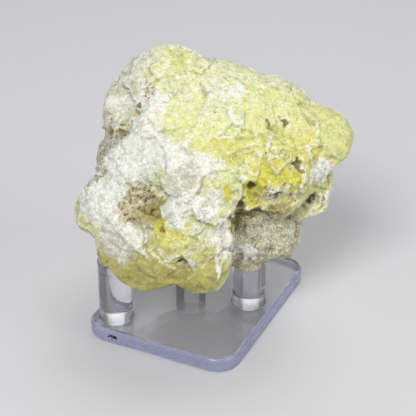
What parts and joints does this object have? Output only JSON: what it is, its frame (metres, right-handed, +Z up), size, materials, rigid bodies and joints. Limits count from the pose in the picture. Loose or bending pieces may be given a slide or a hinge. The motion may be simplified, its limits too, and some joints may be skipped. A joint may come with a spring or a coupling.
{
  "type": "brucite crystal on acrylic stand",
  "caption": "Lumpy yellow and white brucite crystal crust on host rock, resting on the round posts of a clear acrylic display stand with a rounded base plate.",
  "frame": {"origin": "middle of the base plate's flat underside", "axes": "+Z up, out of the base plate towards the stone; -Y towards the viewer of the display face; +X to that viewer's right. The base plate stands turned 25.5 degrees clockwise, seen from above"},
  "size_m": [0.0765, 0.0682, 0.0801],
  "materials": {
    "brucite_crust": "frosted, slightly translucent",
    "acrylic_sheet": "clear, polished",
    "acrylic_rod": "clear, polished"
  },
  "bodies": {
    "root": {"brucite": "brucite_crust", "stand_base": "acrylic_sheet", "post_left": "acrylic_rod", "post_right": "acrylic_rod", "post_back": "acrylic_rod"}
  },
  "joints": []
}
